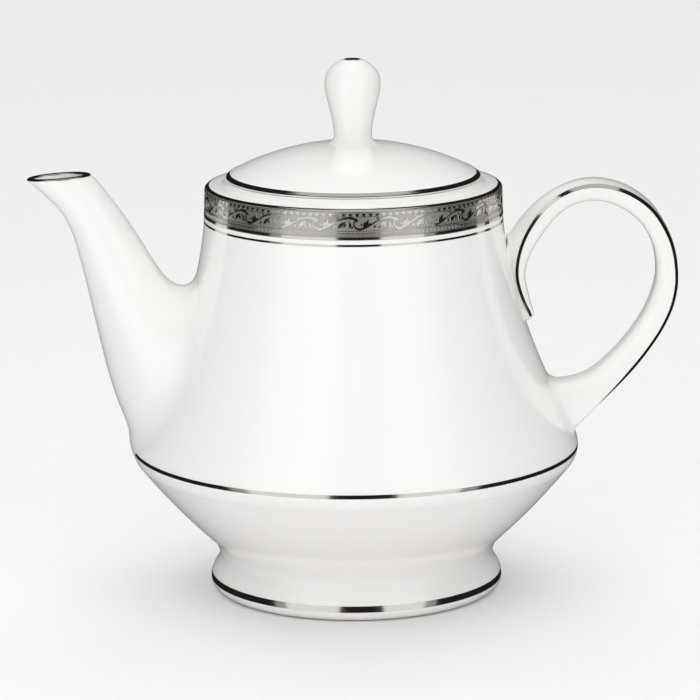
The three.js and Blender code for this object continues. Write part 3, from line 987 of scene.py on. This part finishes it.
class TEAPOT_OT_handle(bpy.types.Operator):
    """Lofts the strap handle and lutes both its ends to the pot."""

    bl_idname = "teapot.handle"
    bl_label = "Handle"

    def execute(self, context):
        corner = context.scene.teapot_trim.handle_line
        halves = [strap_ring(line, corner) for line in handle_lines()]
        rings = [both_sides(crowded(half)) for half in halves]
        skin = Skin(pot_side(context.scene.teapot_pot), rings)
        root = int(len(rings) * LOWER_ROOT)
        free = [*self.tip_rows(halves[0], halves[1]), *halves[:root]]
        upper = [both_sides(welded(skin, half)) for half in free]
        lower, skirts = blend_to_pot(skin, rings[root:], HANDLE_FILLET, HANDLE_SINK, HANDLE_SKIRT)
        piece = from_grid("handle", [*upper, *lower, *skirts], wrap_rows=False)
        deliver(piece, "pot", "glazed_china", "handle")
        return {"FINISHED"}

    @staticmethod
    def tip_rows(first, second):
        """Rings that round off the curled tip."""
        middle = (first[0] + first[-1]) / 2
        onward = middle - (second[0] + second[-1]) / 2
        onward /= np.linalg.norm(onward)
        rows = []
        for angle in (85, 65, 45, 25, 10):
            a = math.radians(angle)
            rows.append(middle + (first - middle) * math.cos(a) + onward * 0.8 * MM * math.sin(a))
        return rows


class TEAPOT_OT_handle_lines(bpy.types.Operator):
    """Lays the platinum lines on both outer corners of the strap."""

    bl_idname = "teapot.handle_lines"
    bl_label = "Handle lines"

    def execute(self, context):
        trim = context.scene.teapot_trim
        lines = handle_lines()
        last = int(len(lines) * LINE_SHARE)
        for name, side in (("front", -1), ("back", 1)):
            rows = [
                self.corner_ring(line, trim, side, self.width(i / last))
                for i, line in enumerate(lines[:last])
            ]
            piece = from_grid(f"handle_{name}_line", rows, wrap_rows=False)
            deliver(piece, "pot", "bright_platinum", f"handle_line_{name}")
        return {"FINISHED"}

    @staticmethod
    def width(share):
        """How wide the line is along the handle: it thins out before the lower root."""
        return min(1.0, 0.05 + 9 * (1 - share))

    @staticmethod
    def corner_ring(line, trim, side, width):
        """One ring of the line: a flat face on the strap's chamfer, its edges let into the glaze."""
        middle, out, deep, half, _, corner, slant = strap_frame(line, trim.handle_line)
        ring = []
        for across, rise in LINE_SECTION:
            share = 0.5 + across * width * 1.04
            lift = rise * trim.film / math.hypot(corner, slant)
            o = deep - corner * share + lift * slant
            y = half - slant * (1 - share) + lift * corner
            ring.append(middle + out * o + np.array((0, side * y, 0)))
        return ring


# ------------------------------------------------------------------ lid


EDGE_START = 42.1 * MM
EDGE_ROUND = 0.95 * MM
VENT_RADIUS = 1.5 * MM
VENT_OFF_AXIS = 24 * MM
VENT_LEAN = (0, 0.26, 0.96)
FLANGE_ROUND = 1.4 * MM


def dome_height(lid, r):
    """Height of the dome at a distance from the axis."""
    return lid.dome_top - lid.dome_radius + math.sqrt(lid.dome_radius**2 - r**2)


def lid_edge(lid):
    """The lid's edge from the dome round to its underside."""
    middle = (lid.radius - EDGE_ROUND, dome_height(lid, lid.radius) - 0.75 * MM)
    return [
        Vector((EDGE_START, dome_height(lid, EDGE_START))),
        *arc(middle, EDGE_ROUND, 62, 0, 6),
        Vector((lid.radius, lid.bottom + 0.3 * MM)),
        Vector((lid.radius - 0.25 * MM, lid.bottom)),
    ]


class TEAPOT_OT_lid(bpy.types.Operator):
    """Spins the domed lid and its flange, and drills the vent."""

    bl_idname = "teapot.lid"
    bl_label = "Lid"

    def execute(self, context):
        lid = context.scene.teapot_lid
        bore = lid.flange_radius - lid.thickness
        under = [Vector((r, dome_height(lid, r) - lid.thickness)) for r in np.linspace(30 * MM, 0, 16)]
        outline = [
            *(Vector((r * MM, dome_height(lid, r * MM))) for r in np.linspace(0, 42, 26)),
            *lid_edge(lid),
            Vector((bore, lid.bottom)),
            Vector((bore - 0.8 * MM, lid.bottom + 1.2 * MM)),
            *under,
        ]
        cap = turned("lid", outline)
        place = (0, VENT_OFF_AXIS, dome_height(lid, VENT_OFF_AXIS))
        cap = cut(cap, [drill(VENT_RADIUS, 20 * MM, place, VENT_LEAN)])
        deliver(cap, "lid", "glazed_china", "lid_cap")
        flange = turned("lid_flange_ring", self.flange(lid, bore), closed=True)
        deliver(flange, "lid", "glazed_china", "lid_flange")
        return {"FINISHED"}

    @staticmethod
    def flange(lid, bore):
        """The ring under the lid, rounded below."""
        wide, low_edge = lid.flange_radius, lid.flange_bottom
        round_height = low_edge + FLANGE_ROUND
        return [
            Vector((wide + 0.6 * MM, lid.bottom + 0.1 * MM)),
            *bezier([(wide, lid.bottom - 0.7 * MM), (wide, low_edge + 3 * MM)], 4),
            *arc((wide - FLANGE_ROUND, round_height), FLANGE_ROUND, 0, -90, 6),
            *arc((bore + FLANGE_ROUND, round_height), FLANGE_ROUND, -90, -180, 6),
            Vector((bore, lid.bottom + 0.1 * MM)),
        ]


# Points out and up of the knob's outline, from its top down.
KNOB = [
    (0.0, 184.35), (1.6, 184.33), (2.9, 184.2), (4.4, 183.83), (6.8, 182.05), (8.3, 180.35),
    (9.2, 178.6), (9.5, 176.2), (9.34, 173.7), (8.65, 170.3), (7.8, 166.9), (7.0, 163.3),
    (6.56, 160.2), (6.45, 158.5),
]
KNOB_TOP = 184.6 * MM


class TEAPOT_OT_knob(bpy.types.Operator):
    """Spins the pear-shaped knob and the platinum dot on it."""

    bl_idname = "teapot.knob"
    bl_label = "Knob"

    def execute(self, context):
        lid = context.scene.teapot_lid
        rise = lid.knob_top - KNOB_TOP
        skin = [Vector((r * MM, z * MM + rise)) for r, z in through(KNOB, 5)]
        skin[0].x = 0
        foot = skin[-1]
        out = foot.x + 3.6 * MM
        dome = dome_height(lid, out)
        sweep = bezier(
            [foot, (foot.x - 0.02 * MM, foot.y - 1.6 * MM), (foot.x + 0.9 * MM, dome + 0.35 * MM),
             (out, dome - 0.03 * MM)], 10
        )
        buried = lid.dome_top - 1.6 * MM
        outline = [*skin, *sweep[1:], Vector((out - 1 * MM, buried)), Vector((0, buried))]
        deliver(turned("knob", outline, 96), "lid", "glazed_china", "lid_knob")
        cap = [p + Vector((0, 0.12 * MM)) for p in skin if p.x <= lid.dot_radius]
        edge = cap[-1]
        dot = [
            *cap,
            edge + Vector((0.12 * MM, -0.14 * MM)),
            edge + Vector((-0.2 * MM, -0.5 * MM)),
            Vector((0, edge.y - 0.5 * MM)),
        ]
        deliver(turned("knob_dot", dot, 64), "lid", "bright_platinum", "knob_top_dot")
        return {"FINISHED"}


# ------------------------------------------------------------------ platinum lines


def lay_line(name, surface, body, node):
    """A platinum line on a turned surface, its edges let into the glaze."""
    film = bpy.context.scene.teapot_trim.film
    outline = [*moved_out(surface, film), *moved_out(surface, -0.12 * MM)[::-1]]
    deliver(turned(name, outline, FINE_STEPS, closed=True), body, "bright_platinum", node)


class TEAPOT_OT_lines(bpy.types.Operator):
    """Lays the platinum lines round the rim, the neck, the waist, the foot and the lid."""

    bl_idname = "teapot.lines"
    bl_label = "Platinum lines"

    def execute(self, context):
        pot = context.scene.teapot_pot
        side = pot_side(pot)
        for name, outline, node in (
            ("neck_line", side, "border_lower_line"),
            ("waist_ring", side, "waist_line"),
            ("foot_ring_line", foot_side(pot), "foot_line"),
        ):
            fine = self.finer(stretch(outline, high(node).z, low(node).z))
            lay_line(name, fine, "pot", node)
        lay_line("rim_roll", arc(ROLL, ROLL_RADIUS, 84, 36, 12), "pot", "rim_edge_line")
        lay_line("lid_line", lid_edge(context.scene.teapot_lid)[:6], "lid", "lid_edge_line")
        return {"FINISHED"}

    @staticmethod
    def finer(surface):
        """An outline with a point more between each two."""
        pairs = zip(surface, surface[1:])
        return [a.lerp(b, s / 2) for a, b in pairs for s in (0, 1)] + [surface[-1]]


# ------------------------------------------------------------------ etched border


# One scroll of the frieze. Each stroke is points along, up and width, in hundredths of the repeat's
# length, of the frieze's height and of that height again.
SCROLL = [
    [(10, 80, 14), (4, 70, 10), (0, 52, 8), (1, 32, 9), (6, 12, 12), (13, 5, 14), (22, 8, 12),
     (33, 22, 10), (45, 44, 9), (57, 68, 9), (70, 86, 10), (84, 94, 11), (97, 90, 12), (106, 78, 16),
     (108, 62, 8)],
    [(24, 16, 6), (26, 34, 16), (27, 50, 14), (25, 66, 3)],
    [(25, 22, 8), (30, 42, 18), (34, 62, 14), (36, 88, 2)],
    [(27, 20, 6), (34, 34, 14), (40, 46, 10), (45, 62, 2)],
    [(20, 30, 3), (19, 42, 12), (17, 54, 3)],
    [(61, 6, 3), (64, 24, 16), (70, 42, 20), (79, 62, 6), (84, 74, 2)],
    [(74, 16, 3), (78, 34, 12), (80, 52, 3)],
    [(86, 72, 3), (90, 52, 9), (91, 30, 14), (88, 12, 3)],
    [(50, 8, 3), (52, 24, 13), (55, 34, 2)],
    [(55, 95, 3), (60, 88, 11), (64, 96, 2)],
    [(93, 10, 3), (96, 20, 12), (98, 34, 2)],
]
SCROLL_WEIGHT = 1.6

# The rolled rim, and the heights between which the border's rows lie.
ROLL = (49.15 * MM, 139.9 * MM)
ROLL_RADIUS = 1.67 * MM
GROUND_TOP = 140.85 * MM
FRIEZE = (134.86 * MM, 138.98 * MM)
ARCHES = (139.22 * MM, 140.26 * MM)
KEYS = (132.78 * MM, 133.86 * MM)
PLAIN_BAND = (131.33 * MM, 132.42 * MM)
KEY_STROKE = 0.25 * MM

# Height and width in millimetres of each fine line.
BORDER_LINES = {
    "border_top_line": (140.55, 0.2),
    "border_arch_line": (139.12, 0.2),
    "border_frieze_line": (134.42, 0.3),
    "border_key_line": (132.6, 0.16),
}


def ribbon(points, relief):
    """Faces of a flat-topped ribbon with sloping edges, along points that carry a width."""
    line = np.array(points, float)
    run = np.gradient(line[:, :2], axis=0)
    run /= np.linalg.norm(run, axis=1)[:, None]
    side = np.stack([-run[:, 1], run[:, 0]], axis=1)
    half = line[:, 2:3] / 2
    slope = np.minimum(half * 0.7, relief * 0.8)
    rows = [
        np.hstack([line[:, :2] + side * half, np.zeros_like(half)]),
        np.hstack([line[:, :2] + side * (half - slope), np.full_like(half, relief)]),
        np.hstack([line[:, :2] - side * (half - slope), np.full_like(half, relief)]),
        np.hstack([line[:, :2] - side * half, np.zeros_like(half)]),
    ]
    return np.stack(rows, axis=1)


def add_ribbon(points, faces, rows):
    """Adds a ribbon's four-cornered rings to lists of points and faces, with both ends closed."""
    start = len(points)
    points.extend(rows.reshape(-1, 3).tolist())
    faces.extend(tuple(start + k for k in face) for face in grid_faces(len(rows), 4))
    faces.append((start, start + 3, start + 2, start + 1))
    end = start + 4 * (len(rows) - 1)
    faces.append((end + 1, end + 2, end + 3, end))


def band_side(pot, trim):
    """The border's ground: the pot's outside under the rolled rim, with its film of metal."""
    side = stretch(pot_side(pot), pot.rim_height, PLAIN_BAND[0] - 1 * MM)
    return moved_out([*arc(ROLL, ROLL_RADIUS, 45, 0, 12), *side], trim.film)


def wrap(points, radius, side):
    """Wraps flat points, along, up and out, round the pot's side from the front."""
    flat = np.array(points)
    angle = flat[:, 0] / radius
    heights = [p.y for p in side][::-1]
    r = np.interp(flat[:, 1], heights, [p.x for p in side][::-1]) + flat[:, 2]
    return np.stack([r * np.sin(angle), -r * np.cos(angle), flat[:, 1]], axis=1)


def relief_piece(name, strips, repeats, radius, side):
    """One repeat's strips, copied round the border and joined in one piece."""
    points, faces = [], []
    for rows in strips:
        add_ribbon(points, faces, rows)
    unit_points = np.array(points)
    pitch = 2 * math.pi * radius / repeats
    all_points, all_faces = [], []
    for i in range(repeats):
        shift = len(all_points)
        moved = unit_points + np.array((i * pitch, 0, 0))
        all_points.extend(wrap(moved, radius, side).tolist())
        all_faces.extend(tuple(k + shift for k in face) for face in faces)
    piece = from_faces(name, all_points, all_faces)
    bpy.ops.object.mode_set(mode="EDIT")
    bpy.ops.mesh.select_all(action="SELECT")
    bpy.ops.mesh.normals_make_consistent(inside=False)
    bpy.ops.object.mode_set(mode="OBJECT")
    deliver(settle(piece, 30), "pot", "bright_platinum")


class TEAPOT_OT_border(bpy.types.Operator):
    """Lays the etched border: its satin ground, scrolls, arches, key row and fine lines."""

    bl_idname = "teapot.border"
    bl_label = "Etched border"

    def execute(self, context):
        trim = context.scene.teapot_trim
        radius = trim.band_radius
        side = band_side(context.scene.teapot_pot, trim)
        ground = stretch(side, GROUND_TOP, low("border_band").z)
        outline = [*ground, *moved_out(ground, -0.2 * MM)[::-1]]
        band = turned("border_ground", outline, BORDER_STEPS, closed=True)
        deliver(band, "pot", "etched_platinum", "border_band")
        self.ring("border_plain_band", PLAIN_BAND, side, trim.relief)
        for name, (z, width) in BORDER_LINES.items():
            self.ring(name, ((z - width / 2) * MM, (z + width / 2) * MM), side, trim.relief)
        pitch = 2 * math.pi * radius / trim.scrolls
        for name, strips, repeats in (
            ("border_scrolls", self.scroll(pitch, trim.relief), trim.scrolls),
            ("border_arches", self.arch(pitch / trim.arches, trim.relief), trim.scrolls * trim.arches),
            ("border_keys", self.key(pitch / trim.keys, trim.relief), trim.scrolls * trim.keys),
        ):
            relief_piece(name, strips, repeats, radius, side)
        return {"FINISHED"}

    @staticmethod
    def ring(name, span, side, relief):
        """A plain raised ring between two heights of the border."""
        edge = min(relief, (span[1] - span[0]) / 4)
        outer = moved_out(stretch(side, span[1] - edge, span[0] + edge), relief)
        foot = stretch(side, span[1], span[0])
        inner = moved_out(foot, -0.1 * MM)
        outline = [foot[0], *outer, foot[-1], *inner[::-1]]
        deliver(turned(name, outline, BORDER_STEPS, closed=True), "pot", "bright_platinum")

    @staticmethod
    def scroll(pitch, relief):
        """One scroll with its leaves and buds."""
        lo, rise = FRIEZE[0], FRIEZE[1] - FRIEZE[0]
        strips = []
        for stroke in SCROLL:
            line = [
                (x / 100 * pitch, lo + y / 100 * rise, SCROLL_WEIGHT * w / 100 * rise)
                for x, y, w in stroke
            ]
            strips.append(ribbon(through(line, 3), relief))
        return strips

    @staticmethod
    def arch(pitch, relief):
        """One arch of the row: a bar with a wedge hanging from it."""
        lo, hi = ARCHES
        mid = pitch / 2
        shoulder = hi - 0.35 * (hi - lo)
        tip = lo + 0.12 * MM
        wedge = [(mid, hi, 0.74 * pitch), (mid, shoulder, 0.62 * pitch), (mid, tip, 0.16 * pitch)]
        bar = [(share * pitch, lo + 0.1 * MM, 0.14 * MM) for share in (0.12, 0.88)]
        return [ribbon(wedge, relief), ribbon(bar, relief)]

    @staticmethod
    def key(pitch, relief):
        """One turn of the key row, in straight strokes."""
        lo, hi = KEYS
        left, right = 0.14 * pitch, 0.86 * pitch
        top, hook = hi - KEY_STROKE / 2, lo + 0.42 * (hi - lo)
        return [
            ribbon([(*start, KEY_STROKE), (*end, KEY_STROKE)], relief)
            for start, end in (
                ((left, lo), (left, hi)),
                ((left, top), (right, top)),
                ((right, hi), (right, hook)),
                ((right, hook), (0.5 * pitch, hook)),
            )
        ]


# ------------------------------------------------------------------ table, lights and camera


# Each light's azimuth from the camera's side, rise, distance, size and brightness.
BOXES = {
    "left_box": (-34, 5, 1.3, (1.02, 2.0), 0.92),
    "left_feather": (-60, 5, 1.42, (0.26, 2.0), 0.35),
    "right_box": (37, 5, 1.3, (0.80, 2.0), 0.92),
    "right_feather": (59, 5, 1.42, (0.22, 2.0), 0.35),
    "overhead_box": (0, 86, 1.4, (1.4, 1.1), 0.6),
    "front_strip": (1, 25, 1.3, (0.03, 0.3), 2.0),
}
FILLS = {
    "front_fill": (0, 35, 2.2, (2.0, 1.2), 0.6),
    "low_fill": (0, 6, 2.2, (2.4, 0.7), 1.5),
    "ceiling": (0, 89.9, 4.0, (8, 8), 0.79),
    "left_fill": (-90, 28, 4.0, (6, 4), 0.3),
    "right_fill": (90, 28, 4.0, (6, 4), 0.3),
    "back_fill": (180, 42, 5.0, (8, 4), 1.4),
}
LIGHT_AIM = Vector((0, 0, 0.08))
ROOM_STRENGTH = 0.015
SENSOR_WIDTH = 36


class TEAPOT_OT_studio(bpy.types.Operator):
    """Sets the pot on a pale table, between two tall soft boxes, and aims the camera."""

    bl_idname = "teapot.studio"
    bl_label = "Studio"

    def execute(self, context):
        studio = context.scene.teapot_studio
        self.table(studio)
        self.world(context.scene)
        self.lights()
        self.camera(context.scene, studio)
        return {"FINISHED"}

    @staticmethod
    def table(studio):
        """A wide pale floor, which the glaze and the metal don't mirror."""
        clear_selection()
        bpy.ops.mesh.primitive_circle_add(
            vertices=96, radius=studio.floor_radius, fill_type="NGON", location=(0, 0, -0.05 * MM)
        )
        floor = name_active("floor")
        shader = Shader("pale_floor")
        floor.data.materials.append(shader.finish(Base_Color=rgba(studio.floor), Roughness=0.7))
        floor.visible_glossy = False

    @staticmethod
    def world(scene):
        """A dark room: all the light comes from the soft boxes."""
        world = bpy.data.worlds.new("room")
        world.use_nodes = True
        room = world.node_tree.nodes["Background"]
        room.inputs["Color"].default_value = (1.0, 0.98, 0.93, 1)
        room.inputs["Strength"].default_value = ROOM_STRENGTH
        scene.world = world

    def lights(self):
        """The boxes show in the glaze and the metal; the fills don't."""
        for name, settings in BOXES.items():
            self.panel(name, *settings)
        for name, settings in FILLS.items():
            self.panel(name, *settings).visible_glossy = False

    @staticmethod
    def panel(name, azimuth, rise, distance, size, brightness):
        """A soft box seen from the pot at an azimuth from the camera's side, and facing the pot."""
        a, e = math.radians(azimuth), math.radians(rise)
        light = bpy.data.lights.new(name, "AREA")
        light.shape = "RECTANGLE"
        light.size, light.size_y = size
        light.energy = brightness * math.pi * size[0] * size[1]
        lamp = bpy.data.objects.new(name, light)
        away = Vector((math.sin(a) * math.cos(e), -math.cos(a) * math.cos(e), math.sin(e)))
        lamp.location = LIGHT_AIM + away * distance
        lamp.rotation_euler = away.to_track_quat("Z", "Y").to_euler()
        lamp.visible_camera = False
        bpy.context.scene.collection.objects.link(lamp)
        return lamp

    @staticmethod
    def camera(scene, studio):
        """Aims a long lens at the pot from a little above it."""
        data = bpy.data.cameras.new("camera")
        data.lens = studio.lens
        data.sensor_width = SENSOR_WIDTH
        camera = bpy.data.objects.new("camera", data)
        scene.collection.objects.link(camera)
        aim = Vector(studio.aim)
        back = Vector((0, -math.cos(studio.rise), math.sin(studio.rise)))
        place = aim + back * studio.distance
        turn = back.to_track_quat("Z", "Y").to_matrix() @ Matrix.Rotation(-studio.roll, 3, "Z")
        camera.matrix_world = Matrix.Translation(place) @ turn.to_4x4()
        data.clip_start, data.clip_end = 0.05, 50
        scene.camera = camera
        scene.view_settings.view_transform = "Standard"


class TEAPOT_PT_panel(bpy.types.Panel):
    """Lists the pieces of the teapot in the sidebar."""

    bl_idname = "TEAPOT_PT_panel"
    bl_label = "China teapot"
    bl_space_type = "VIEW_3D"
    bl_region_type = "UI"
    bl_category = "Teapot"

    def draw(self, context):
        for group in GROUPS:
            box = self.layout.box()
            settings = getattr(context.scene, group)
            for name in settings.bl_rna.properties.keys():
                if name not in {"rna_type", "name"}:
                    box.prop(settings, name)
        for operator in OPERATORS:
            self.layout.operator(operator.bl_idname)


GROUPS = {
    "teapot_pot": TEAPOT_PG_pot,
    "teapot_lid": TEAPOT_PG_lid,
    "teapot_trim": TEAPOT_PG_trim,
    "teapot_finish": TEAPOT_PG_finish,
    "teapot_studio": TEAPOT_PG_studio,
}
OPERATORS = (
    TEAPOT_OT_pot_body,
    TEAPOT_OT_foot,
    TEAPOT_OT_spout,
    TEAPOT_OT_spout_lip,
    TEAPOT_OT_handle,
    TEAPOT_OT_handle_lines,
    TEAPOT_OT_lid,
    TEAPOT_OT_knob,
    TEAPOT_OT_lines,
    TEAPOT_OT_border,
    TEAPOT_OT_studio,
)


def register():
    for name, group in GROUPS.items():
        bpy.utils.register_class(group)
        setattr(bpy.types.Scene, name, bpy.props.PointerProperty(type=group))
    for cls in (*OPERATORS, TEAPOT_PT_panel):
        bpy.utils.register_class(cls)


def unregister():
    for cls in (TEAPOT_PT_panel, *reversed(OPERATORS)):
        bpy.utils.unregister_class(cls)
    for name, group in GROUPS.items():
        delattr(bpy.types.Scene, name)
        bpy.utils.unregister_class(group)


def main():
    register()
    for operator in OPERATORS:
        group, name = operator.bl_idname.split(".")
        getattr(getattr(bpy.ops, group), name)()


if __name__ == "__main__":
    main()
